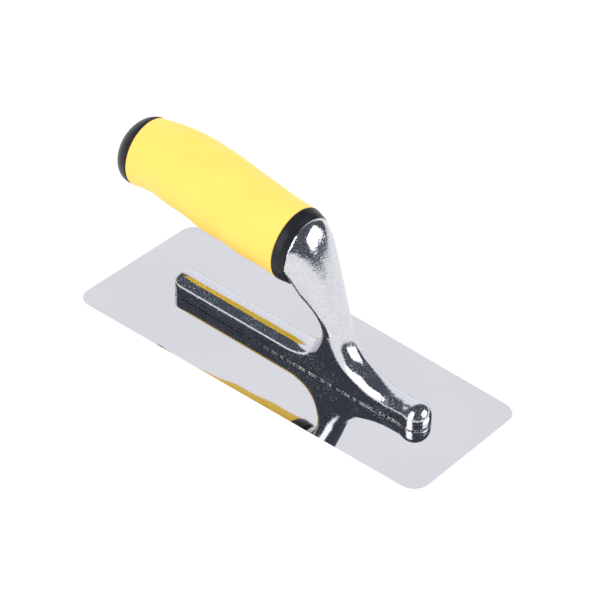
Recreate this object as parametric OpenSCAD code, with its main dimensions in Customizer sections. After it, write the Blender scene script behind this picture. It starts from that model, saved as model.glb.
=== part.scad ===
// Finishing trowel: thin steel blade, one-piece cast handle mount and a soft two-part grip.
// Frame: origin at the centre of the blade's working face, +X to the toe, +Z up to the grip.

/* [Blade] */
// Length of the blade from heel to toe
blade_len = 200; // [180:1:260]
// Width of the blade at the heel, under the rear of the grip
heel_w = 80; // [70:1:110]
// Width of the blade at the toe
toe_w = 72; // [60:1:110]
// Thickness of the blade sheet
blade_t = 0.8; // [0.6:0.1:1.2]
// Radius of the blade's four corners
corner_r = 8; // [2:0.5:15]

/* [Handle mount] */
// Width of the casting's foot bar
foot_w = 14.3; // [12:0.1:18]
// Height of the foot bar's straight side above the blade
foot_side = 4.3; // [3.5:0.1:5]
// Height of the foot bar's round top above its straight side, behind the post
foot_crown = 6.2; // [5:0.1:7]
// Height of the round top in front of the post, where the foot dips
dip_crown = 4.8; // [4:0.1:6]
// Distance from the blade's centre to the heel end of the foot
foot_heel = 69.6; // [60:0.2:75]
// Distance from the blade's centre to the toe end of the foot
foot_toe = 77.3; // [70:0.1:82]
// Height of the dome at the toe above the foot's straight side
dome_crown = 6; // [5:0.1:7]
// Diameter of the neck where it meets the collar
neck_d = 31; // [29:0.2:33]
// Height of the neck's centre above the working face
neck_z = 61; // [58:0.5:66]
// Distance of the neck's mouth towards the toe from the blade's centre
neck_x = 5.4; // [2:0.2:8]

/* [Grip] */
// Upward tilt of the grip's axis towards its rear, in degrees
grip_tilt = 3.4; // [0:0.2:6]
// Length of the black front collar
collar_len = 6.4; // [5:0.2:9]
// Length of the grip from the neck's mouth to the rear cap's seam
grip_len = 95.6; // [90:0.2:110]
// Half height of the grip above its axis at the collar
grip_top = 17.8; // [17:0.1:19]
// How far the back of the grip arches above that height
grip_arch = 5; // [3:0.1:6]
// Half height of the grip below its axis at the collar
grip_under = 17.6; // [17:0.1:18.5]
// How far the underside draws in towards the rear
grip_waist = 2.6; // [0.5:0.1:3]
// Depth of the finger waves on the underside
wave_depth = 0.35; // [0:0.05:0.8]
// Width of the grip's section as a share of its height
grip_aspect = 0.94; // [0.88:0.01:1]
// Thickness of the soft sleeve over the hard core
sleeve_t = 3.2; // [2.4:0.1:4]
// How much the back of the grip lifts again at the rear cap
tail_rise = 0.6; // [0:0.1:1.5]
// How far the rear cap bulges beyond its seam
cap_bulge = 12.4; // [6:0.2:13]
// How far the tip of the cap's dome sits below the middle of its seam
cap_drop = 3; // [0:0.2:4]
// How far the collar's front ring sits below the grip's axis
collar_drop = 0.8; // [0:0.1:1]

/* [Fasteners] */
// Number of rivets that hold the blade
rivet_count = 6; // [4:1:7]
// Shank diameter of the rivets
rivet_d = 4; // [3:0.1:5]
// Thread diameter of the bolt through the core
bolt_d = 6; // [5:1:8]
// Length of the bolt under its head
bolt_len = 30; // [24:1:34]

/* [Hidden] */
$fn = 64;

gap = 0.05;             // clearance between fitted pieces
ring_n = 48;            // points around a lofted section
mesh_n = 32;            // stations along a lofted piece
crown_n = 24;           // steps around the foot's round top
dome_n = 11;            // rings on the rear cap's dome

foot_r = foot_w / 2;
foot_base = blade_t;                       // the foot stands on the blade
spring_z = foot_base + foot_side;          // where the foot's round top begins
ridge_z = spring_z + foot_crown;           // top of the foot behind the post
dip_z = spring_z + dip_crown;              // top of the foot in front of the post
heel_corner_r = 3;                         // plan radius of the foot's heel corners
foot_mid = 30;                             // under the post, where the two heights of the foot meet
dome_x = foot_toe - foot_r;                // centre of the half round toe

neck_r = neck_d / 2;
waist_z = 26;                              // height of the post's narrowest section
waist_front = 31.1;                        // post's front edge at that height
waist_rear = 18.9;                         // post's rear edge at that height
crest_pull = [10.3, -0.35];                // how the post's front edge leaves the neck's top
throat_pull = [11, -8];                    // how its rear edge leaves the neck's underside
front_above = [-2.6, 7.2];                 // run of the front edge into the waist from above
front_below = [2.3, -6.5];                 // and out of it below
rear_above = [0.3, 8];                     // the same for the rear edge
rear_below = [-0.3, -7.2];
front_toe_x = 44;                          // where the front edge flattens out on the foot
rear_heel_x = 12;                          // where the rear edge does
root_depth = 1;                            // how deep the post's root is buried in the foot
root_front = 60;                           // front end of the post's root
root_rear = 2;                             // rear end of the post's root
post_half_min = foot_r - 0.1;               // the post's sides stop just inside the foot's
post_round = 2;                            // section exponent at the neck, an ellipse
post_square = 3;                           // section exponent at the root, flat sided

step_r = 12;                               // locating step on the neck's mouth
step_h = 2.5;
step_root = 3;                             // how deep the step's root reaches into the neck
tang_r0 = 9;                               // tang radius at the neck
tang_r1 = 7;                               // tang radius at its rear end
tang_len = 46;
web_t = 8;                                 // wall inside the core that the bolt clamps
pocket_r = 9;                              // rear pocket in the core
washer_t = 1.5;
washer_r = 8;
head_h = 4;
head_flats = 10;                           // across flats of the bolt's head
web_end = tang_len + gap + web_t;          // rear face of the clamped wall
thread_len = bolt_len - web_t - washer_t;  // bolt length inside the tang
bolt_spare = 4;                            // depth of the bolt's hole beyond its end
bolt_slack = 0.3;                          // clearance around the bolt in the core
washer_slack = 0.2;
arch_shift = 1.9;                          // moves the top of the grip's arch rearwards
waist_shift = 3.4;                         // moves the underside's waist rearwards
under_taper = 0.8;                         // how much the underside rises over the grip's length
wave_pitch = 23;
tail_slim = 0.05;                          // how much narrower the section gets at the cap
collar_edge = 0.4;                         // rounding of the collar's front edge
collar_bevel = 2.6;                        // length of the collar's bevelled front band
collar_step = 0.9;                         // how far that band's rear edge sits inside the collar
collar_lip = 0.2;                          // how far the collar stands proud of the sleeve
dome_end = 86;                             // angle at which the dome is closed by a small flat
wave_phase = 60;                           // slides the finger waves along the grip
plug_len = 14;                             // how far the cap plugs into the core
plug_wall = 2;
cap_skirt = 1.2;                           // straight part of the cap before its dome

rivet_head_r = 3.3;
rivet_deep = 6.2;                          // top of the rivet above the working face
rivet_x0 = -60;
rivet_span = 130;
rivet_pitch = rivet_span / (rivet_count - 1);

// ---- helpers ----

// Point at t on a cubic curve through p0 and p3, pulled by p1 and p2
function bezier(p0, p1, p2, p3, t) =
    pow(1 - t, 3) * p0 + 3 * pow(1 - t, 2) * t * p1 + 3 * (1 - t) * t * t * p2 + pow(t, 3) * p3;

// Signed power, for superellipse sections
function spow(v, e) = sign(v) * pow(abs(v), e);

// Arc of points around c, from angle a0 to a1
function arc(c, r, a0, a1, n = 10) =
    [for (i = [0 : n]) let (a = a0 + (a1 - a0) * i / n) c + r * [cos(a), sin(a)]];

// Closed solid through a list of rings that all have the same number of points
module loft(rings) {
    n = len(rings[0]);
    m = len(rings);
    sides = [for (j = [0 : m - 2], i = [0 : n - 1])
        let (k = (i + 1) % n)
        each [[j * n + i, (j + 1) * n + i, (j + 1) * n + k],
              [j * n + i, (j + 1) * n + k, j * n + k]]];
    first = [for (i = [0 : n - 1]) i];
    last = [for (i = [n - 1 : -1 : 0]) (m - 1) * n + i];
    polyhedron(points = [for (r = rings) each r], faces = concat(sides, [first, last]));
}

// Moves children to the neck's mouth: local +Z runs rearwards along the grip, local +X is up
module on_grip_axis() {
    translate([neck_x, 0, neck_z])
        rotate([0, grip_tilt - 90, 0])
            children();
}

// Elliptical ring in the grip's local frame: centre height c, half height b, half width a
function grip_ring(u, c, b, a) =
    [for (i = [0 : ring_n - 1]) let (q = 360 * i / ring_n) [c + b * cos(q), a * sin(q), u]];

// ---- blade ----

blade_angle = atan((heel_w - toe_w) / 2 / blade_len);

// Centre of a corner arc: end is -1 at the heel and 1 at the toe, w the width at that end
function corner(end, w) =
    let (x = end * (blade_len / 2 - corner_r),
         slope = tan(blade_angle),
         edge = w / 2 + end * corner_r * slope)
    [x, edge - corner_r / cos(blade_angle)];

module blade_outline() {
    toe = corner(1, toe_w);
    heel = corner(-1, heel_w);
    a = 90 - blade_angle;
    polygon(concat(
        arc([toe[0], -toe[1]], corner_r, -a, 0),
        arc(toe, corner_r, 0, a),
        arc(heel, corner_r, a, 180),
        arc([heel[0], -heel[1]], corner_r, 180, 360 - a)));
}

// Places children at each rivet
module at_rivets() {
    for (i = [0 : rivet_count - 1])
        translate([rivet_x0 + i * rivet_pitch, 0, 0])
            children();
}

module blade() {
    color([0.86, 0.86, 0.88])
    difference() {
        linear_extrude(blade_t)
            blade_outline();
        at_rivets() {
            translate([0, 0, -1])
                cylinder(r = rivet_d / 2 + gap, h = blade_t + 2);
            cylinder(r1 = rivet_head_r + gap, r2 = rivet_d / 2 + gap, h = blade_t);
        }
    }
}

module blade_rivets() {
    color([0.7, 0.71, 0.73])
    at_rivets() {
        cylinder(r1 = rivet_head_r, r2 = rivet_d / 2, h = blade_t);
        cylinder(r = rivet_d / 2, h = rivet_deep);
    }
}

// ---- handle mount ----

// Plan that rounds the foot's two heel corners
module foot_plan() {
    heel_x = heel_corner_r - foot_heel;
    edge = foot_r - heel_corner_r;
    polygon(concat(
        [[foot_mid + 1, -foot_r], [foot_mid + 1, foot_r]],
        arc([heel_x, edge], heel_corner_r, 90, 180),
        arc([heel_x, -edge], heel_corner_r, 180, 270)));
}

// Points of an elliptical arc of half width r and height h, standing on height z
function crown(r, h, z, a0, a1) =
    [for (i = [0 : crown_n]) let (q = a0 + (a1 - a0) * i / crown_n) [r * cos(q), z + h * sin(q)]];

// Section of the foot across the blade: straight sides under a round top
module foot_section(h) {
    polygon(concat([[-foot_r, 0], [foot_r, 0]], crown(foot_r, h, foot_side, 0, 180)));
}

// Stretch of the foot from x0 to x1 with a round top of height h
module foot_bar(x0, x1, h) {
    translate([x0, 0, foot_base])
        rotate([90, 0, 90])
            linear_extrude(x1 - x0)
                foot_section(h);
}

module foot() {
    intersection() {
        foot_bar(-foot_heel - 1, foot_mid, foot_crown);
        translate([0, 0, foot_base])
            linear_extrude(foot_side + foot_crown + 1)
                foot_plan();
    }
    foot_bar(foot_mid, dome_x, dip_crown);
    translate([dome_x, 0, foot_base])
        rotate_extrude()
            polygon(concat([[0, 0], [foot_r, 0]], crown(foot_r, dome_crown, foot_side, 0, 90)));
}

// Front and rear edge of the post in the XZ plane; t is 0 at the neck, 1 at the waist, 2 at the root
up = [sin(grip_tilt), cos(grip_tilt)];
neck_c = [neck_x, neck_z];
front_top = neck_c + neck_r * up;
rear_top = neck_c - neck_r * up;
front_waist = [waist_front, waist_z];
rear_waist = [waist_rear, waist_z];
function post_front(t) = t < 1
    ? bezier(front_top, front_top + crest_pull, front_waist + front_above, front_waist, t)
    : bezier(front_waist, front_waist + front_below, [front_toe_x, dip_z - root_depth / 2],
             [root_front, dip_z - root_depth], t - 1);
function post_rear(t) = t < 1
    ? bezier(rear_top, rear_top + throat_pull, rear_waist + rear_above, rear_waist, t)
    : bezier(rear_waist, rear_waist + rear_below, [rear_heel_x, ridge_z - root_depth / 2],
             [root_rear, ridge_z - root_depth], t - 1);
// Half width of the post, from the neck's radius down to the foot's
function post_half(t) = post_half_min + (neck_r - post_half_min) * pow(max(0, 1 - t), 2);

function post_ring(t) =
    let (f = post_front(t), r = post_rear(t), c = (f + r) / 2, h = (f - r) / 2,
         e = 2 / (post_round + (post_square - post_round) * min(t, 1)))
    [for (i = [0 : ring_n - 1])
        let (q = 360 * i / ring_n, k = spow(cos(q), e))
        [c[0] + h[0] * k, -post_half(t) * spow(sin(q), e), c[1] + h[1] * k]];

module post() {
    loft([for (j = [0 : mesh_n]) post_ring(2 * j / mesh_n)]);
}

module handle_mount() {
    color([0.78, 0.79, 0.82])
    difference() {
        union() {
            foot();
            post();
            on_grip_axis() {
                translate([0, 0, -step_root])
                    cylinder(r = step_r, h = step_h + step_root);
                cylinder(r1 = tang_r0, r2 = tang_r1, h = tang_len);
            }
        }
        at_rivets()
            cylinder(r = rivet_d / 2 + gap, h = rivet_deep + gap);
        on_grip_axis()
            translate([0, 0, tang_len - thread_len - bolt_spare])
                cylinder(r = bolt_d / 2 + gap, h = thread_len + bolt_spare + 1);
    }
}

// ---- grip ----

// Half heights of the grip above and below its axis; s is 0 at the neck and 1 at the cap's seam
function top_h(s) =
    grip_top + grip_arch * sin(180 * pow(s, arch_shift)) + tail_rise * pow(s, 6) - 0.2 * s;
function under_h(s) =
    grip_under - under_taper * s - grip_waist * sin(180 * pow(s, waist_shift))
    + wave_depth * cos(360 * s * grip_len / wave_pitch - wave_phase) * sin(180 * s);

// Width of the grip's section as a share of its height
function aspect(s) = grip_aspect - tail_slim * pow(s, 4);

// Ring of the grip's outer face at s, drawn in by inset
function skin_ring(s, inset) =
    let (t = top_h(s), u = under_h(s), b = (t + u) / 2)
    grip_ring(s * grip_len, (t - u) / 2, b - inset, aspect(s) * b - inset);

// Solid of the grip's outer shape between s0 and s1
module skin(s0, s1, inset) {
    loft([for (j = [0 : mesh_n]) skin_ring(s0 + (s1 - s0) * j / mesh_n, inset)]);
}

module front_collar() {
    s = collar_len / grip_len;
    front_b = neck_r + collar_drop;
    rear_b = (top_h(s) + under_h(s)) / 2;
    rear_a = rear_b * aspect(s);
    color([0.16, 0.16, 0.18])
    on_grip_axis()
    difference() {
        loft([grip_ring(0, -collar_drop, front_b - collar_edge, neck_r),
              grip_ring(collar_edge, -collar_drop, front_b, neck_r + collar_edge),
              grip_ring(collar_bevel, -collar_drop / 2, rear_b - collar_step, rear_a - collar_edge),
              grip_ring(collar_len - 0.6, 0, rear_b + collar_lip, rear_a + collar_lip),
              grip_ring(collar_len, 0, rear_b, rear_a)]);
        translate([0, 0, -1])
            cylinder(r = step_r + gap, h = step_h + 1 + gap);
        translate([0, 0, -1])
            cylinder(r = tang_r0 + gap, h = collar_len + 2);
    }
}

module grip_sleeve() {
    color([0.99, 0.86, 0.2])
    on_grip_axis()
    difference() {
        skin(collar_len / grip_len, 1, 0);
        skin((collar_len - 1) / grip_len, 1 + 1 / grip_len, sleeve_t);
    }
}

module handle_core() {
    color([0.22, 0.22, 0.24])
    on_grip_axis()
    difference() {
        skin(collar_len / grip_len, 1, sleeve_t + gap);
        cylinder(r1 = tang_r0 + gap, r2 = tang_r1 + gap, h = tang_len + gap);
        cylinder(r = bolt_d / 2 + bolt_slack, h = grip_len);
        translate([0, 0, web_end])
            cylinder(r = pocket_r, h = grip_len);
    }
}

module bolt_washer() {
    color([0.75, 0.75, 0.78])
    on_grip_axis()
    translate([0, 0, web_end])
    difference() {
        cylinder(r = washer_r, h = washer_t);
        translate([0, 0, -1])
            cylinder(r = bolt_d / 2 + washer_slack, h = washer_t + 2);
    }
}

module tang_bolt() {
    color([0.62, 0.63, 0.66])
    on_grip_axis()
    translate([0, 0, web_end + washer_t]) {
        cylinder(d = head_flats / cos(30), h = head_h, $fn = 6);
        translate([0, 0, -bolt_len])
            cylinder(r = bolt_d / 2, h = bolt_len + 1);
    }
}

module rear_cap() {
    c = (top_h(1) - under_h(1)) / 2;
    b = (top_h(1) + under_h(1)) / 2;
    a = b * aspect(1);
    dome = [for (i = [0 : dome_n]) let (q = dome_end * i / dome_n)
        grip_ring(grip_len + cap_skirt + (cap_bulge - cap_skirt) * sin(q), c - cap_drop * sin(q),
                  b * cos(q), a * cos(q))];
    color([0.16, 0.16, 0.18])
    on_grip_axis() {
        loft(concat([grip_ring(grip_len, c, b, a)], dome));
        translate([0, 0, grip_len - plug_len])
            difference() {
                cylinder(r = pocket_r - gap, h = plug_len + 1);
                translate([0, 0, -1])
                    cylinder(r = pocket_r - gap - plug_wall, h = plug_len + 1);
            }
    }
}

blade();
handle_mount();
blade_rivets();
front_collar();
grip_sleeve();
handle_core();
tang_bolt();
bolt_washer();
rear_cap();
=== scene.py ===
"""Finishing trowel: polished casting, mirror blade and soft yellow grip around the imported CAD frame."""

import math

import bmesh
import bpy
import numpy as np
import openvdb
from mathutils import Matrix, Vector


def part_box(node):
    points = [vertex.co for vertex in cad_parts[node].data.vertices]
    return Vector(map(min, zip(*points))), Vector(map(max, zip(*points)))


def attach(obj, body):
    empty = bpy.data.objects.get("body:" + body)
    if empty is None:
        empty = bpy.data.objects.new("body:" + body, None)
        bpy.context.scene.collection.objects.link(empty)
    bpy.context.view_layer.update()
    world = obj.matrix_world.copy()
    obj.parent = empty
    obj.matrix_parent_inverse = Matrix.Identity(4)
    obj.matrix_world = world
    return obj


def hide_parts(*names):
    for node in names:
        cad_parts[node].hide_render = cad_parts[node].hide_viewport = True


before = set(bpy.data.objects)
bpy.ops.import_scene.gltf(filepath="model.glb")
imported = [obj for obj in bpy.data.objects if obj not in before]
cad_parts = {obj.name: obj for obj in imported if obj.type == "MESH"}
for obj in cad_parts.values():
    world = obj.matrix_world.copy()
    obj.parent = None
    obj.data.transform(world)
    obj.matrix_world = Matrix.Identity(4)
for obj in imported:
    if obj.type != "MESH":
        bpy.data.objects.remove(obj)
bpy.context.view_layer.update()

MM = 0.001
scene = bpy.context.scene


def box_mm(node):
    """Lowest and highest corner of a CAD node, in millimetres."""
    lo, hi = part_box(node)
    return np.array(lo) / MM, np.array(hi) / MM


# ---------------------------------------------------------------- places from the frame, in millimetres

BLADE_HI = box_mm("blade")[1]
MOUNT_LO, MOUNT_HI = box_mm("handle_mount")
COLLAR_HI = box_mm("front_collar")[1]
SLEEVE_LO = box_mm("grip_sleeve")[0]

TILT = math.radians(3.4)       # the grip's axis rises this much towards its rear
BASE_Z = BLADE_HI[2]           # the foot stands on the blade
HEEL_X = MOUNT_LO[0]
TOE_X = MOUNT_HI[0]
NECK_R = MOUNT_HI[1]           # radius of the neck's mouth
NECK_Z = MOUNT_HI[2] - NECK_R * math.cos(TILT)
COLLAR_NEAR = 0.4              # how much nearer the axis the collar's foremost point is than the neck's side
NECK_X = COLLAR_HI[0] - (NECK_R - COLLAR_NEAR) * math.sin(TILT)
UNDER_END = 16.8               # the grip's half height below its axis at the cap's seam
SEAM_X = SLEEVE_LO[0] + UNDER_END * math.sin(TILT)
GRIP_LEN = (NECK_X - SEAM_X) / math.cos(TILT)

AXIS = np.array([-math.cos(TILT), 0.0, math.sin(TILT)])   # rearwards along the grip
UP = np.array([math.sin(TILT), 0.0, math.cos(TILT)])      # square to it, upwards
MOUTH = np.array([NECK_X, 0.0, NECK_Z])
COLLAR_LEN = 6.4


# ---------------------------------------------------------------- curves and blends

def bezier(p0, p1, p2, p3, n):
    """n + 1 points along a cubic curve."""
    t = np.linspace(0.0, 1.0, n + 1)[:, None]
    p0, p1, p2, p3 = (np.asarray(p, float) for p in (p0, p1, p2, p3))
    return (1 - t) ** 3 * p0 + 3 * (1 - t) ** 2 * t * p1 + 3 * (1 - t) * t * t * p2 + t ** 3 * p3


def smoothstep(a, b, x):
    t = np.clip((x - a) / (b - a), 0.0, 1.0)
    return t * t * (3 - 2 * t)


def soft_max(a, b, k):
    """The larger of two fields, rounded where they are within k of each other."""
    h = np.clip(0.5 + 0.5 * (a - b) / k, 0, 1)
    return b + (a - b) * h + k * h * (1 - h)


def soft_min(a, b, k):
    return -soft_max(-a, -b, k)


# ---------------------------------------------------------------- the casting's outline, seen from the side

FOOT_HALF = 7.15                 # half width of the foot where it meets the blade
SPRING_Z = BASE_Z + 4.3          # where the foot's round top begins
RIDGE_Z = SPRING_Z + 6.2         # ridge of the foot behind the post
DIP_Z = SPRING_Z + 4.8           # ridge of the foot in front of the post
WAIST_REAR = 18.9                # edges of the post at its narrowest
WAIST_FRONT = 31.1
WAIST_Z = 26.0
CURVE_STEPS = 48
BEHIND = 12.0                    # the outline runs on this far behind the mouth

up2 = np.array([UP[0], UP[2]])
axis2 = np.array([AXIS[0], AXIS[2]])
mouth2 = np.array([MOUTH[0], MOUTH[2]])


def outline(start, pull, waist_x, waist_pull, root_x, foot_x, far_x, ridge):
    """One edge of the casting in the side plane: along the grip, down the post, and out along the foot."""
    waist = np.array([waist_x, WAIST_Z])
    waist_pull = np.array(waist_pull)
    upper = bezier(start, start + np.array(pull), waist + waist_pull, waist, CURVE_STEPS)
    lower = bezier(waist, waist - waist_pull * 0.9, (root_x, ridge + 0.1), (foot_x, ridge), CURVE_STEPS)
    return np.vstack([start + axis2 * BEHIND, upper, lower[1:], (far_x, ridge)])


FRONT = outline(mouth2 + NECK_R * up2, pull=(8.35, -1.83), waist_x=WAIST_FRONT, waist_pull=(-3.52, 8.96),
                root_x=44.0, foot_x=60.0, far_x=90.0, ridge=DIP_Z)
REAR = outline(mouth2 - NECK_R * up2, pull=(11.0, -8.0), waist_x=WAIST_REAR, waist_pull=(0.3, 8.0),
               root_x=12.0, foot_x=1.0, far_x=-90.0, ridge=RIDGE_Z)


# ---------------------------------------------------------------- side-plane grids that the field samples

GRID_STEP = 0.5
XS = np.arange(HEEL_X - 6, TOE_X + 6, GRID_STEP)
ZS = np.arange(BASE_Z - 4, MOUNT_HI[2] + 5, GRID_STEP)
GX, GZ = np.meshgrid(XS, ZS, indexing="ij")
OFF_POST = 1.6                   # places further across the post than this don't belong to it
CUT_Z = 36.0                     # the mouth's plane cuts the casting only above this height


def curve_distance(curve, x, z, side):
    """Signed distance to a curve in the side plane, positive inside the casting."""
    a, b = curve[:-1], curve[1:]
    d = b - a
    length = np.linalg.norm(d, axis=1)
    best = np.full(x.shape, 1e9)
    sign = np.ones(x.shape)
    for i in range(len(a)):
        px, pz = x - a[i, 0], z - a[i, 1]
        t = np.clip((px * d[i, 0] + pz * d[i, 1]) / length[i] ** 2, 0, 1)
        gap = np.hypot(px - t * d[i, 0], pz - t * d[i, 1])
        near = gap < best
        best = np.where(near, gap, best)
        cross = d[i, 0] * pz - d[i, 1] * px
        sign = np.where(near, np.where(cross * side > 0, 1.0, -1.0), sign)
    return best * sign


def span_share(x, z):
    """Share of the way down the post, 0 at the neck's mouth and 1 at the foot, and the place across it,
    -1 rear to 1 front: found by which line from the front edge to the rear edge runs through the point."""
    behind = (x - MOUTH[0]) * AXIS[0] + (z - MOUTH[2]) * AXIS[2] > 0
    share = np.where(behind & (z > CUT_Z), 0.0, 1.0)
    across = np.full(x.shape, 2.0)
    front, rear = FRONT[1:-1], REAR[1:-1]
    last = None
    for j in range(len(front)):
        d = front[j] - rear[j]
        width = np.hypot(*d)
        side = (d[0] * (z - rear[j, 1]) - d[1] * (x - rear[j, 0])) / width
        u = 2 * (d[0] * (x - rear[j, 0]) + d[1] * (z - rear[j, 1])) / width ** 2 - 1
        if last is not None:
            found = (last[0] * side <= 0) & (last[0] != side)
            t = last[0] / np.where(last[0] == side, 1, last[0] - side)
            uu = last[1] + t * (u - last[1])
            found &= (np.abs(uu) < OFF_POST) & (np.abs(uu) < np.abs(across))
            share = np.where(found, (j - 1 + t) / (len(front) - 1), share)
            across = np.where(found, uu, across)
        last = (side, u)
    return share, across


def side_grids():
    """Depth from each edge, how deep its rounding reaches, the rounding's power, and how much wider than the
    foot the casting is."""
    share, across = span_share(GX, GZ)
    widths = np.linalg.norm(FRONT[1:-1] - REAR[1:-1], axis=1)
    span = np.interp(share * (len(widths) - 1), np.arange(len(widths)), widths)
    by_span = (1 - smoothstep(0.1, 0.4, share)) * (np.abs(across) < OFF_POST)
    from_front = curve_distance(FRONT, GX, GZ, -1)
    from_rear = curve_distance(REAR, GX, GZ, 1)
    front_part = 0.5 + 0.14 * smoothstep(0.0, 0.15, share)
    lower = smoothstep(0.45, 0.62, share)
    root = smoothstep(0.6, 1.0, share)
    boxy = smoothstep(0.0, 0.13, share) * (1 - smoothstep(0.55, 0.8, share))
    fade = np.clip(1 - share / 0.5, 0, 1)
    swell = np.sin(math.pi * np.clip(share / 0.5, 0, 1)) ** 2
    return {
        "front": from_front + (span / 2 * (1 - across) - from_front) * by_span,
        "rear": from_rear + (span / 2 * (1 + across) - from_rear) * by_span,
        "deep_front": span * front_part * (1 - lower) + (7.5 - 2.5 * root) * lower,
        "deep_rear": span * (1 - front_part) * (1 - lower) + (4.2 + 2.0 * root) * lower,
        "power": 2.0 + 0.64 * boxy,
        "wider": (NECK_R - FOOT_HALF + 0.2) * fade ** 2 + 0.83 * swell,
    }


GRIDS = side_grids()


def sample(name, x, z):
    """Cubic convolution of a side-plane grid at points."""
    grid = GRIDS[name]
    fx = (x - XS[0]) / GRID_STEP
    fz = (z - ZS[0]) / GRID_STEP
    ix = np.clip(np.floor(fx).astype(int), 1, len(XS) - 3)
    iz = np.clip(np.floor(fz).astype(int), 1, len(ZS) - 3)
    tx, tz = fx - ix, fz - iz

    def weights(t):
        return (-0.5 * t ** 3 + t ** 2 - 0.5 * t, 1.5 * t ** 3 - 2.5 * t ** 2 + 1,
                -1.5 * t ** 3 + 2 * t ** 2 + 0.5 * t, 0.5 * t ** 3 - 0.5 * t ** 2)

    wx, wz = weights(tx), weights(tz)
    total = 0.0
    for i in range(4):
        for j in range(4):
            total = total + wx[i] * wz[j] * grid[ix + i - 1, iz + j - 1]
    return total


# ---------------------------------------------------------------- the casting as a smooth field

DRAFT = 0.02                     # the foot's sides close in by this much per millimetre of height
DRAFT_TOP = 8.0
TOE_NARROW = 0.8                 # the foot is this much narrower on each side by the toe
NARROW_FROM, NARROW_TO = 44.0, 62.0
HEEL_R = 3.0                     # round corners of the flat heel end
DOME_FOOT = 3.6                  # the toe's dome springs this high above the blade
DOME_RISE = 6.6
DOME_SCALE = 6.4                 # turns the dome's share of its radius into millimetres
BLEND = 1.0                      # rounding where heel, toe and bar meet
RIM_BLEND = 0.5                  # rounding of the neck's rim
RIM_DEEP = 1.0                   # the neck's rounded rim sits this deep in the collar
STEP_R, STEP_LEN = 12.0, 2.5     # locating step on the mouth
TANG_R, TANG_TAPER, TANG_LEN = 9.0, 2.0, 46.0
HOLE_R, HOLE_DEEP = 3.05, 24.5   # bolt hole in the tang's end
TANG_ROOT = 3.0                  # the tang starts this far in front of the mouth, inside the neck


def tang_field(p, behind):
    """The locating step on the neck's mouth and the tapered tang with its bolt hole, inside the grip."""
    high = (p[..., 0] - MOUTH[0]) * UP[0] + (p[..., 2] - MOUTH[2]) * UP[2]
    radius = np.hypot(high, p[..., 1])
    step = np.maximum(radius - STEP_R, behind - STEP_LEN)
    tang = np.maximum(radius - (TANG_R - TANG_TAPER * behind / TANG_LEN), behind - TANG_LEN)
    hole = np.maximum(radius - HOLE_R, TANG_LEN - HOLE_DEEP - behind)
    return np.maximum(np.maximum(np.minimum(step, tang), -TANG_ROOT - behind), -hole)


def bar_field(x, y, z, half):
    """The foot and post: a rounded section between the front and rear outlines."""
    front, rear = sample("front", x, z), sample("rear", x, z)
    deep_f, deep_r = sample("deep_front", x, z), sample("deep_rear", x, z)
    a = np.maximum(deep_f - front, 0) / deep_f
    b = np.maximum(deep_r - rear, 0) / deep_r
    power = sample("power", x, z)
    curved = np.maximum(a ** power + (y / half) ** power, 1e-6) ** (1 / power)
    body = np.maximum(curved ** power + b ** power, 1e-6) ** (1 / power) - 1
    return body * np.minimum(half, np.minimum(deep_f, deep_r))


def heel_field(x, y):
    """The flat heel end with small round corners."""
    qx = np.maximum(HEEL_X + HEEL_R - x, 0)
    qy = np.maximum(y - (FOOT_HALF - HEEL_R), 0)
    return np.where(x < HEEL_X + HEEL_R, np.hypot(qx, qy) - HEEL_R, -HEEL_R)


def dome_field(x, y, z, radius):
    """The ball shaped dome that ends the toe."""
    high = np.maximum(z - (BASE_Z + DOME_FOOT), 0) / DOME_RISE
    along = x - (TOE_X - FOOT_HALF)
    return (np.sqrt((along / radius) ** 2 + (y / radius) ** 2 + high ** 2) - 1) * DOME_SCALE


def casting_field(p):
    """Roughly the distance in millimetres to the casting's face, negative inside. p is an array of points."""
    x, y, z = p[..., 0], np.abs(p[..., 1]), p[..., 2]
    draft = DRAFT * np.clip(z - BASE_Z, 0, DRAFT_TOP)
    narrow = TOE_NARROW * smoothstep(NARROW_FROM, NARROW_TO, x)
    body = bar_field(x, y, z, FOOT_HALF - draft - narrow + sample("wider", x, z))
    body = soft_max(body, heel_field(x, y), BLEND)
    body = soft_max(body, x - (TOE_X - FOOT_HALF), BLEND)
    body = soft_min(body, dome_field(x, y, z, FOOT_HALF - draft), BLEND)
    behind = (x - MOUTH[0]) * AXIS[0] + (z - MOUTH[2]) * AXIS[2]
    body = soft_max(body, np.minimum(behind - RIM_DEEP, z - CUT_Z), RIM_BLEND)
    body = np.minimum(body, tang_field(p, behind))
    return np.maximum(body, BASE_Z - z)


def gradient(p, e=0.05):
    g = np.empty_like(p)
    for i in range(3):
        d = np.zeros(3)
        d[i] = e
        g[:, i] = (casting_field(p + d) - casting_field(p - d)) / (2 * e)
    return g


def mesh_object(name, verts, faces, smooth=True):
    mesh = bpy.data.meshes.new(name)
    mesh.from_pydata([tuple(v) for v in verts], [], [tuple(f) for f in faces])
    mesh.validate()
    mesh.update()
    if smooth:
        mesh.polygons.foreach_set("use_smooth", [True] * len(mesh.polygons))
    obj = bpy.data.objects.new(name, mesh)
    scene.collection.objects.link(obj)
    return obj


MESH_STEP = 0.8
MARGIN, MARGIN_BELOW = 2.0, 2.4  # room around the casting in the sampled block
PULLS = 4                        # times that the mesh is pulled onto the field's zero
PULL_MAX = 0.4


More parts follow.
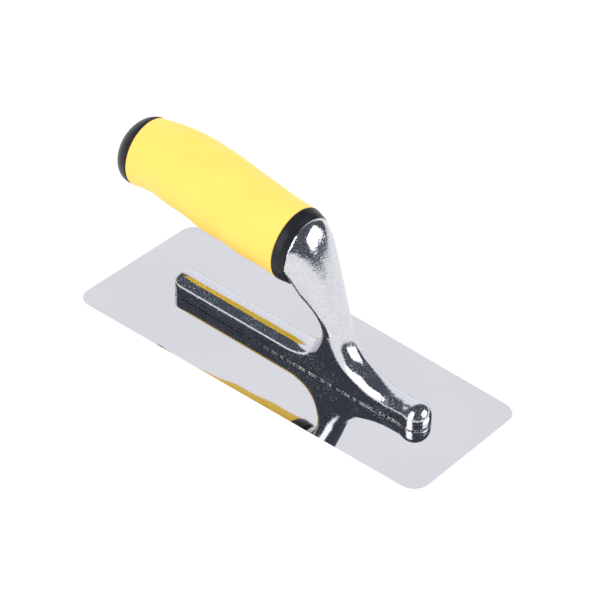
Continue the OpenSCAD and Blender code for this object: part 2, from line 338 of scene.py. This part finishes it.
def build_casting():
    """Sample the field in a block, turn its zero into quads, then pull the points onto it."""
    lo = np.array([HEEL_X - MARGIN, -NECK_R - MARGIN, BASE_Z - MARGIN_BELOW])
    hi = np.array([TOE_X + MARGIN, NECK_R + MARGIN, MOUNT_HI[2] + MARGIN])
    n = np.ceil((hi - lo) / MESH_STEP).astype(int)
    axes = [lo[i] + MESH_STEP * np.arange(n[i]) for i in range(3)]
    field = np.empty(n, np.float32)
    for i, x in enumerate(axes[0]):
        y, z = np.meshgrid(axes[1], axes[2], indexing="ij")
        field[i] = casting_field(np.stack([np.full(y.shape, x), y, z], -1))
    grid = openvdb.FloatGrid()
    grid.copyFromArray(field)
    points, _, quads = grid.convertToPolygons(0.0, 0.0)
    points = lo + points.astype(float) * MESH_STEP
    for _ in range(PULLS):
        f = casting_field(points)
        g = gradient(points)
        size = np.maximum((g * g).sum(1), 0.05)
        move = (f / size)[:, None] * g
        points -= np.clip(move, -PULL_MAX, PULL_MAX)
    return mesh_object("casting", points * MM, quads)


# ---------------------------------------------------------------- grip pieces as lofted shells

GRIP_TOP = 17.8                  # heights of the grip above and below its axis at the mouth
GRIP_ARCH = 5.0
GRIP_UNDER = 17.6
WAVE_DEPTH = 0.35                # finger waves below
WAVE_LENGTH = 23
WAVE_PHASE = math.radians(60)
SLEEVE_WALL = 3.2
SLEEVE_EDGE = 0.5                # radius of the sleeve's two outer edges
EDGE_STEPS = 5
PLAIN = 1.5                      # the sleeve's evenly spaced rings stop this far from its ends


def on_axis(u, up, y):
    """Points in the row frame from the grip's own: u rearwards from the mouth, up and y across it."""
    u, up, y = np.broadcast_arrays(u, up, y)
    return MOUTH + u[..., None] * AXIS + up[..., None] * UP + np.stack([0 * y, y, 0 * y], -1)


def top_h(s):
    return GRIP_TOP + GRIP_ARCH * np.sin(math.pi * s ** 1.9) + 0.6 * s ** 6 - 0.2 * s


def under_h(s):
    turn = 2 * math.pi * s * GRIP_LEN / WAVE_LENGTH - WAVE_PHASE
    wave = WAVE_DEPTH * np.cos(turn) * np.sin(math.pi * s)
    return GRIP_UNDER - 0.8 * s - 2.6 * np.sin(math.pi * s ** 3.4) + wave


def section(s):
    """Centre height, half height and half width of the grip at share s of its length."""
    t, u = top_h(s), under_h(s)
    b = (t + u) / 2
    return (t - u) / 2, b, (0.94 - 0.05 * s ** 4) * b


def ring_faces(rings, around, closed):
    """Quads between neighbouring rings of points, and from the last ring to the first if closed."""
    faces = []
    for j in range(rings if closed else rings - 1):
        k = (j + 1) % rings
        for i in range(around):
            i2 = (i + 1) % around
            faces.append((j * around + i, j * around + i2, k * around + i2, k * around + i))
    return faces


def loft(name, rings, around=128):
    """Shell through rings of (u, centre, half height, half width). An end whose ring is a point closes there;
    without one, the last ring joins the first."""
    q = np.linspace(0, 2 * math.pi, around, endpoint=False)
    verts = [on_axis(np.full(around, u), c + b * np.cos(q), a * np.sin(q)) for u, c, b, a in rings]
    closed = rings[0][2] > 1e-6 and rings[-1][2] > 1e-6
    obj = mesh_object(name, np.concatenate(verts) * MM, ring_faces(len(rings), around, closed))
    bm = bmesh.new()
    bm.from_mesh(obj.data)
    bmesh.ops.remove_doubles(bm, verts=bm.verts, dist=1e-6)
    bmesh.ops.recalc_face_normals(bm, faces=bm.faces)
    bm.to_mesh(obj.data)
    bm.free()
    return obj


def inset_ring(s, inset):
    c, b, a = section(s)
    return (s * GRIP_LEN, c, b - inset, a - inset)


def edge_ring(s, inwards, step):
    """A ring on the round outer edge of the sleeve's end at share s, from its end face outwards."""
    turn = math.pi / 2 * step / EDGE_STEPS
    along = inwards * SLEEVE_EDGE * (1 - math.cos(turn)) / GRIP_LEN
    return inset_ring(s + along, SLEEVE_EDGE * (1 - math.sin(turn)))


def build_sleeve():
    s0 = COLLAR_LEN / GRIP_LEN
    margin = PLAIN / GRIP_LEN
    rings = [edge_ring(s0, 1, i) for i in range(EDGE_STEPS + 1)]
    rings += [inset_ring(s, 0) for s in np.linspace(s0 + margin, 1 - margin, 96)]
    rings += [edge_ring(1, -1, i) for i in range(EDGE_STEPS, -1, -1)]
    rings += [inset_ring(s, SLEEVE_WALL) for s in np.linspace(1, s0, 24)]
    return loft("grip_cover", rings)


CAP_BULGE = 12.4                 # the dome stands this far behind the sleeve
CAP_DROP = 3.0                   # its tip lies this much lower than its rim's centre
CAP_SKIRT = 1.2                  # straight part before the dome
CAP_PLUG = 5.0                   # the plug inside the sleeve is this much smaller
PLUG_LEN = 1.5
CAP_GAP = 0.02                   # between the sleeve's end and the cap
CAP_STEPS = 28


def build_cap():
    c, b, a = section(1.0)
    rings = [(GRIP_LEN - PLUG_LEN, c, 0.0, 0.0)]
    rings += [(GRIP_LEN + u, c, b - CAP_PLUG, a - CAP_PLUG) for u in (-PLUG_LEN, CAP_GAP)]
    for u, inset in ((CAP_GAP, 0.35), (0.12, 0.12), (0.35, 0.0)):
        rings.append((GRIP_LEN + u, c, b - inset, a - inset))
    for q in np.linspace(0, math.pi / 2, CAP_STEPS):
        k = max(math.cos(q), 0.0)
        out = CAP_SKIRT + (CAP_BULGE - CAP_SKIRT) * math.sin(q)
        rings.append((GRIP_LEN + out, c - CAP_DROP * math.sin(q), b * k, a * k))
    return loft("cap_dome", rings)


COLLAR_HOLE = 9.1                # radius of the collar's hole, which the tang passes through
COLLAR_DROP = 0.8                # the collar's front ring is centred this much lower than the axis


def build_collar():
    """A narrow lip round the neck, a bevelled step, then the wide band that the sleeve butts against."""
    c1, b1, a1 = section(COLLAR_LEN / GRIP_LEN)
    rings = [(u, -COLLAR_DROP, NECK_R + tall, NECK_R + wide)
             for u, tall, wide in ((0.0, 0.3, -0.1), (0.08, 0.6, 0.25), (0.3, 0.8, 0.4))]
    rings += [(u, -COLLAR_DROP / 2, b1 - tall, a1 - wide)
              for u, tall, wide in ((2.45, 1.0, 0.4), (2.6, 0.85, 0.25), (2.85, 0.75, 0.15))]
    rings += [(COLLAR_LEN - 0.8, 0.0, b1 + 0.15, a1 + 0.2), (COLLAR_LEN - 0.3, c1, b1 + 0.15, a1 + 0.2),
              (COLLAR_LEN - 0.05, c1, b1, a1), (COLLAR_LEN - 0.02, c1, b1 - 0.6, a1 - 0.6)]
    rings += [(u, 0.0, COLLAR_HOLE, COLLAR_HOLE) for u in (COLLAR_LEN - 0.02, 0.0)]
    return loft("collar_ring", rings)


def fit(piece, node):
    """Put a finished piece on the tool's one body in place of a CAD node."""
    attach(piece, "root")
    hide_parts(node)
    return piece


casting = fit(build_casting(), "handle_mount")
sleeve = fit(build_sleeve(), "grip_sleeve")
cap = fit(build_cap(), "rear_cap")
collar = fit(build_collar(), "front_collar")


# ---------------------------------------------------------------- shader helpers

class Nodes:
    """Short names for building a shader out of arithmetic."""

    def __init__(self, tree):
        self.tree = tree

    def fill(self, socket, value):
        """Link a socket to another node's output, or set it to a plain value."""
        if hasattr(value, "is_output"):
            self.tree.links.new(value, socket)
        elif socket.type == "RGBA":
            socket.default_value = (*value, 1)
        else:
            socket.default_value = value

    def math(self, op, a, b=0.0, c=0.0):
        n = self.tree.nodes.new("ShaderNodeMath")
        n.operation = op
        for socket, value in zip(n.inputs, (a, b, c)):
            self.fill(socket, value)
        return n.outputs[0]

    def vector(self, op, a, b=(0.0, 0.0, 0.0)):
        n = self.tree.nodes.new("ShaderNodeVectorMath")
        n.operation = op
        self.fill(n.inputs[0], a)
        self.fill(n.inputs[1], b)
        return n.outputs

    def dot(self, vector, fixed):
        return self.vector("DOT_PRODUCT", vector, tuple(fixed))["Value"]

    def step(self, value, low, high):
        n = self.tree.nodes.new("ShaderNodeMapRange")
        n.interpolation_type = "SMOOTHSTEP"
        self.fill(n.inputs["Value"], value)
        n.inputs["From Min"].default_value = low
        n.inputs["From Max"].default_value = high
        return n.outputs["Result"]

    def mix(self, factor, a, b):
        n = self.tree.nodes.new("ShaderNodeMix")
        n.data_type = "RGBA"
        self.fill(n.inputs["Factor"], factor)
        for name, value in (("A", a), ("B", b)):
            self.fill([s for s in n.inputs if s.name == name and s.type == "RGBA"][0], value)
        return [s for s in n.outputs if s.type == "RGBA"][0]


def new_material(name, metallic=0.0):
    """A material, its node tree and Principled shader, and the object's own coordinates in metres."""
    m = bpy.data.materials.new(name)
    m.use_nodes = True
    nt = m.node_tree
    bsdf = nt.nodes["Principled BSDF"]
    bsdf.inputs["Metallic"].default_value = metallic
    return m, nt, bsdf, nt.nodes.new("ShaderNodeTexCoord").outputs["Object"]


def noise(nt, vector, scale, detail=4.0, rough=0.5):
    n = nt.nodes.new("ShaderNodeTexNoise")
    n.inputs["Scale"].default_value = scale
    n.inputs["Detail"].default_value = detail
    n.inputs["Roughness"].default_value = rough
    nt.links.new(vector, n.inputs["Vector"])
    return n.outputs["Fac"]


def ramp(nt, source, low, high, start=0.3, end=0.7):
    """Colour that runs from low to high as the source runs from start to end."""
    r = nt.nodes.new("ShaderNodeValToRGB")
    for stop, place, colour in zip(r.color_ramp.elements, (start, end), (low, high)):
        stop.position = place
        stop.color = (*colour, 1)
    nt.links.new(source, r.inputs["Fac"])
    return r.outputs["Color"]


def grey(value):
    return (value, value, value)


def bump(nt, height, strength, distance, bsdf, previous=None):
    b = nt.nodes.new("ShaderNodeBump")
    b.inputs["Strength"].default_value = strength
    b.inputs["Distance"].default_value = distance
    nt.links.new(height, b.inputs["Height"])
    if previous:
        nt.links.new(previous.outputs["Normal"], b.inputs["Normal"])
    nt.links.new(b.outputs["Normal"], bsdf.inputs["Normal"])
    return b


def stretched(nt, vector, share):
    """Coordinates that make a texture run on along X."""
    m = nt.nodes.new("ShaderNodeMapping")
    m.inputs["Scale"].default_value = (share, 1.0, 1.0)
    nt.links.new(vector, m.inputs["Vector"])
    return m.outputs["Vector"]


def separate(nt, vector, axis):
    """One component of a vector."""
    parts = nt.nodes.new("ShaderNodeSeparateXYZ")
    nt.links.new(vector, parts.inputs["Vector"])
    return parts.outputs[axis]


def geometry(nt):
    return nt.nodes.new("ShaderNodeNewGeometry").outputs


def light_path(nt):
    return nt.nodes.new("ShaderNodeLightPath").outputs


def paint(obj, material):
    obj.data.materials.clear()
    obj.data.materials.append(material)


# ---------------------------------------------------------------- materials, in metres

BASE = BASE_Z * MM               # height of the joint between casting and blade
SEAM = 0.00034                   # height of the dark line there
CAMBER = 0.31                    # lean of the blade's normal per metre from its centreline
POLISH = 0.035                   # roughness of the polished casting
FINE = 0.00006                   # depth of the casting's grain and waves


def casting_seam(nt, n, v):
    """The dark line where the casting meets the blade, and the pale scuffs just above its front half."""
    height = separate(nt, v, "Z")
    seam = n.step(height, BASE + SEAM, BASE + 0.6 * SEAM)
    specks = n.step(noise(nt, stretched(nt, v, 0.35), 1800, 2), 0.47, 0.56)
    scuff = n.math("MULTIPLY", n.step(height, BASE + 2.5 * SEAM, BASE + 1.6 * SEAM), specks)
    front = n.step(separate(nt, v, "X"), -0.030, 0.010)
    scuff = n.math("MULTIPLY", n.math("MULTIPLY", scuff, front), n.math("SUBTRACT", 1.0, seam))
    return seam, scuff


def casting_ripple(nt, n, v, bsdf):
    """A fine grain and a soft wave, weakest on the low bar behind the post."""
    height = separate(nt, v, "Z")
    ripple = n.math("MAXIMUM", n.step(separate(nt, v, "X"), 0.0, 0.025), n.step(height, 0.014, 0.022))
    ripple = n.math("MULTIPLY_ADD", ripple, 0.8, 0.2)
    grain = bump(nt, noise(nt, v, 1000, 3, 0.6), 1.0, FINE, bsdf)
    wave = bump(nt, noise(nt, v, 260, 2), 1.0, FINE, bsdf, grain)
    for b in (grain, wave):
        nt.links.new(ripple, b.inputs["Strength"])


def casting_material():
    """Polished die casting: mirror bright with fine dull pits and a slight ripple, scuffed along its foot."""
    m, nt, bsdf, v = new_material("polished casting")
    n = Nodes(nt)
    tint = ramp(nt, noise(nt, v, 800, 4, 0.7), (0.508, 0.515, 0.552), (0.600, 0.606, 0.640), 0.36, 0.66)
    seam, scuff = casting_seam(nt, n, v)
    color = n.mix(n.math("MULTIPLY", seam, 0.8), tint, (0.03, 0.03, 0.035))
    nt.links.new(n.mix(scuff, color, grey(1.0)), bsdf.inputs["Base Color"])
    nt.links.new(n.math("SUBTRACT", 1.0, scuff), bsdf.inputs["Metallic"])
    pits = n.step(noise(nt, v, 1400, 3, 0.6), 0.49, 0.66)
    patch = n.step(noise(nt, v, 110, 2), 0.30, 0.62)
    dull = n.math("MULTIPLY", pits, n.math("MULTIPLY_ADD", patch, 0.24, 0.15))
    rough = n.math("ADD", n.math("MULTIPLY_ADD", scuff, 0.5, POLISH), dull)
    nt.links.new(rough, bsdf.inputs["Roughness"])
    casting_ripple(nt, n, v, bsdf)
    return m


def blade_material():
    """Mirror sheet whose long edges lift very slightly, with a painted highlight on its edge faces: they are
    made near white for the floor's light on them.
    """
    m, nt, bsdf, v = new_material("mirror steel", metallic=1.0)
    n = Nodes(nt)
    tint = ramp(nt, noise(nt, v, 20, 3), (0.535, 0.53, 0.555), (0.565, 0.56, 0.585))
    face = geometry(nt)["Normal"]
    flat = n.step(n.math("ABSOLUTE", separate(nt, face, "Z")), 0.5, 0.9)
    # painted highlight: faces that aren't flat, the sheet's edges, get a near white base colour in place of
    # the mirror's tint
    nt.links.new(n.mix(flat, grey(0.95), tint), bsdf.inputs["Base Color"])
    worn = ramp(nt, noise(nt, v, 45, 5, 0.65), grey(0.015), grey(0.055), 0.40, 0.72)
    nt.links.new(worn, bsdf.inputs["Roughness"])
    lean = nt.nodes.new("ShaderNodeCombineXYZ")
    nt.links.new(n.math("MULTIPLY", separate(nt, v, "Y"), -CAMBER), lean.inputs["Y"])
    bent = n.vector("ADD", face, lean.outputs["Vector"])["Vector"]
    nt.links.new(n.vector("NORMALIZE", bent)["Vector"], bsdf.inputs["Normal"])
    return m


def grip_material():
    """Satin yellow moulding, with painted shade below: its underside turns a deeper orange. The light that
    the blade throws up onto its underside isn't traced, so the underside is lifted a little by a painted glow
    that only mirror rays see."""
    m, nt, bsdf, v = new_material("yellow soft grip")
    n = Nodes(nt)
    tint = ramp(nt, noise(nt, v, 60), (0.92, 0.585, 0.095), (0.95, 0.61, 0.11))
    # painted shade: faces that point down get a deeper orange base colour; the same mask sets the painted
    # glow below
    underside_shade_glow_mask = n.step(separate(nt, geometry(nt)["Normal"], "Z"), -0.6, -0.92)
    nt.links.new(n.mix(underside_shade_glow_mask, tint, (0.93, 0.58, 0.02)), bsdf.inputs["Base Color"])
    # painted glow: a weak orange emission on the underside, seen only by mirror rays
    bsdf.inputs["Emission Color"].default_value = (1.0, 0.68, 0.02, 1.0)
    painted_glow = n.math("MULTIPLY", n.math("MULTIPLY", underside_shade_glow_mask, light_path(nt)["Is Glossy Ray"]), 0.3)
    nt.links.new(painted_glow, bsdf.inputs["Emission Strength"])
    bsdf.inputs["Roughness"].default_value = 0.5
    bsdf.inputs["Specular IOR Level"].default_value = 0.45
    bump(nt, noise(nt, v, 2500, 2), 0.15, 0.0002, bsdf)
    return m


def plain_metal(name, low, high, rough, grain):
    """Machined or plated steel with fine streaks along the frame's X axis."""
    m, nt, bsdf, v = new_material(name, metallic=1.0)
    streak = noise(nt, stretched(nt, v, 0.06), grain)
    nt.links.new(ramp(nt, streak, low, high), bsdf.inputs["Base Color"])
    spread = ramp(nt, noise(nt, v, 300, 3), grey(rough), grey(rough * 1.6), 0.35, 0.7)
    nt.links.new(spread, bsdf.inputs["Roughness"])
    bump(nt, streak, 0.4, 0.00002, bsdf)
    return m


def black_material():
    m, nt, bsdf, v = new_material("black plastic")
    tint = ramp(nt, noise(nt, v, 200, 3), (0.010, 0.011, 0.014), (0.014, 0.015, 0.019))
    nt.links.new(tint, bsdf.inputs["Base Color"])
    bsdf.inputs["Roughness"].default_value = 0.36
    bsdf.inputs["Specular IOR Level"].default_value = 0.2
    bump(nt, noise(nt, v, 2000, 2), 0.1, 0.0002, bsdf)
    return m


black = black_material()
zinc = plain_metal("zinc plate", (0.46, 0.47, 0.49), (0.6, 0.6, 0.62), 0.26, 900)
paint(casting, casting_material())
paint(sleeve, grip_material())
paint(cap, black)
paint(collar, black)
paint(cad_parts["blade"], blade_material())
paint(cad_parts["blade_rivets"], plain_metal("rivet steel", grey(0.5), grey(0.6), 0.16, 2500))
paint(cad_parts["tang_bolt"], zinc)
paint(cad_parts["bolt_washer"], zinc)
paint(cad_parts["handle_core"], black)


# ---------------------------------------------------------------- stage and light

FLOOR_HALF = 4.0                 # metres
FLOOR_GAP = 0.0002               # the floor lies this far below the working face, so that they don't flicker
CLOSE = 0.003                    # mirror rays shorter than this pass through the floor

DARK_ROOM = (0.101, 0.115, 0.140)
BACKDROP = (1.24, 1.25, 1.29)
FLOOR_GLOW = (1.25, 1.25, 1.28)
LINE_COLOUR = (0.95, 0.96, 1.0)
FILL_FRONT = (1.62, 1.62, 1.62)
FILL_BACK = (1.22, 1.22, 1.23)
BACKDROP_AZIMUTH = 152           # degrees
FILL_DIRECTION = (-70, 15)       # azimuth and elevation of the brighter side
FRONT_PANEL = {"azimuth": 28, "elevation": 27.0, "wide": 44, "tall": 27}
SIDE_PANEL = {"azimuth": -90, "elevation": 32, "wide": 30, "tall": 62}
FRONT_POWER = 4.0
SIDE_POWER = 3.2


def build_floor():
    """A white floor, clear from below, and clear to mirror rays from the blade that it almost touches."""
    h = FLOOR_HALF
    corners = [(-h, -h, 0), (h, -h, 0), (h, h, 0), (-h, h, 0)]
    floor = mesh_object("floor", corners, [(0, 1, 2, 3)], smooth=False)
    floor.location.z = -FLOOR_GAP
    m, nt, bsdf, v = new_material("white floor")
    n = Nodes(nt)
    nt.links.new(ramp(nt, noise(nt, v, 3, 2), grey(0.89), grey(0.91)), bsdf.inputs["Base Color"])
    bsdf.inputs["Roughness"].default_value = 0.9
    clear = nt.nodes.new("ShaderNodeBsdfTransparent")
    sides = nt.nodes.new("ShaderNodeMixShader")
    rays = light_path(nt)
    close = n.math("MULTIPLY", rays["Is Glossy Ray"], n.math("LESS_THAN", rays["Ray Length"], CLOSE))
    nt.links.new(n.math("MAXIMUM", geometry(nt)["Backfacing"], close), sides.inputs["Fac"])
    nt.links.new(bsdf.outputs["BSDF"], sides.inputs[1])
    nt.links.new(clear.outputs["BSDF"], sides.inputs[2])
    nt.links.new(sides.outputs["Shader"], nt.nodes["Material Output"].inputs["Surface"])
    paint(floor, m)


def unit(azimuth, elevation):
    """Direction from degrees: azimuth from +X towards +Y, elevation upwards."""
    a, e = math.radians(azimuth), math.radians(elevation)
    return np.array([math.cos(a) * math.cos(e), math.sin(a) * math.cos(e), math.sin(e)])


def panel(n, direction, azimuth, elevation, wide, tall, soft=0.15):
    """Mask of a rectangular light seen from the middle of the stage, its sizes in degrees."""
    out = unit(azimuth, elevation)
    side = unit(azimuth + 90, 0)
    top = np.cross(out, side)
    depth = n.math("MAXIMUM", n.dot(direction, out), 0.01)
    mask = n.step(n.dot(direction, out), 0.02, 0.05)
    for axis, size in ((side, wide), (top, tall)):
        reach = math.tan(math.radians(size / 2))
        across = n.math("DIVIDE", n.math("ABSOLUTE", n.dot(direction, axis)), depth)
        inside = n.math("SUBTRACT", 1.0, n.step(across, reach * (1 - soft), reach * (1 + soft)))
        mask = n.math("MULTIPLY", mask, inside)
    return mask


def mirrored_room(n, direction):
    """What polished faces see: a dark room, a pale backdrop and floor, a thin horizon line and two panels."""
    height = n.dot(direction, (0, 0, 1))
    back = n.step(n.dot(direction, unit(BACKDROP_AZIMUTH, 0)), 0.50, 0.58)
    low = n.math("SUBTRACT", 1.0, n.step(height, 0.82, 0.90))
    seen = n.mix(n.math("MULTIPLY", back, low), DARK_ROOM, BACKDROP)
    seen = n.mix(n.step(n.dot(direction, (0, 0, -1)), -0.07, -0.01), seen, FLOOR_GLOW)
    seen = n.mix(panel(n, direction, **FRONT_PANEL), seen, grey(FRONT_POWER))
    seen = n.mix(panel(n, direction, **SIDE_PANEL), seen, grey(SIDE_POWER))
    line = n.math("MULTIPLY", n.step(height, -0.035, -0.02), n.step(height, 0.01, -0.005))
    return n.mix(n.math("MULTIPLY", line, back), seen, LINE_COLOUR)


def build_world():
    """Soft white light from all round, and a structured room for mirror rays."""
    world = bpy.data.worlds.new("studio")
    scene.world = world
    world.use_nodes = True
    tree = world.node_tree
    n = Nodes(tree)
    direction = tree.nodes.new("ShaderNodeTexCoord").outputs["Generated"]
    fill = n.mix(n.step(n.dot(direction, unit(*FILL_DIRECTION)), -0.9, 1.0), FILL_BACK, FILL_FRONT)
    light = n.mix(light_path(tree)["Is Glossy Ray"], fill, mirrored_room(n, direction))
    tree.links.new(light, tree.nodes["Background"].inputs["Color"])


# ---------------------------------------------------------------- camera

CAMERA_LENS = 144.16             # millimetres on the sensor
SENSOR = 36.0
CAMERA_AZIMUTH = 40.123          # degrees
CAMERA_ELEVATION = 38.390
CAMERA_ROLL = -1.793
CAMERA_DISTANCE = 1085.885
CAMERA_RIGHT = -2.411            # where the blade's centre sits from the view's centre
CAMERA_UP = -23.818
CLIP_END = 20.0


def build_camera():
    a, e, r = (math.radians(v) for v in (CAMERA_AZIMUTH, CAMERA_ELEVATION, CAMERA_ROLL))
    back = np.array([math.sin(a) * math.cos(e), -math.cos(a) * math.cos(e), math.sin(e)])
    right = np.array([math.cos(a), math.sin(a), 0.0])
    up = np.cross(back, right)
    cr, sr = math.cos(r), math.sin(r)
    rows = np.array([cr * right - sr * up, sr * right + cr * up, back])
    place = -(np.array([CAMERA_RIGHT, CAMERA_UP, -CAMERA_DISTANCE]) @ rows) * MM
    data = bpy.data.cameras.new("camera")
    data.lens = CAMERA_LENS
    data.sensor_width = SENSOR
    data.clip_end = CLIP_END
    cam = bpy.data.objects.new("camera", data)
    scene.collection.objects.link(cam)
    cam.matrix_world = Matrix.Translation(place) @ Matrix(rows.T.tolist()).to_4x4()
    scene.camera = cam


build_floor()
build_world()
build_camera()
scene.view_settings.view_transform = "Standard"
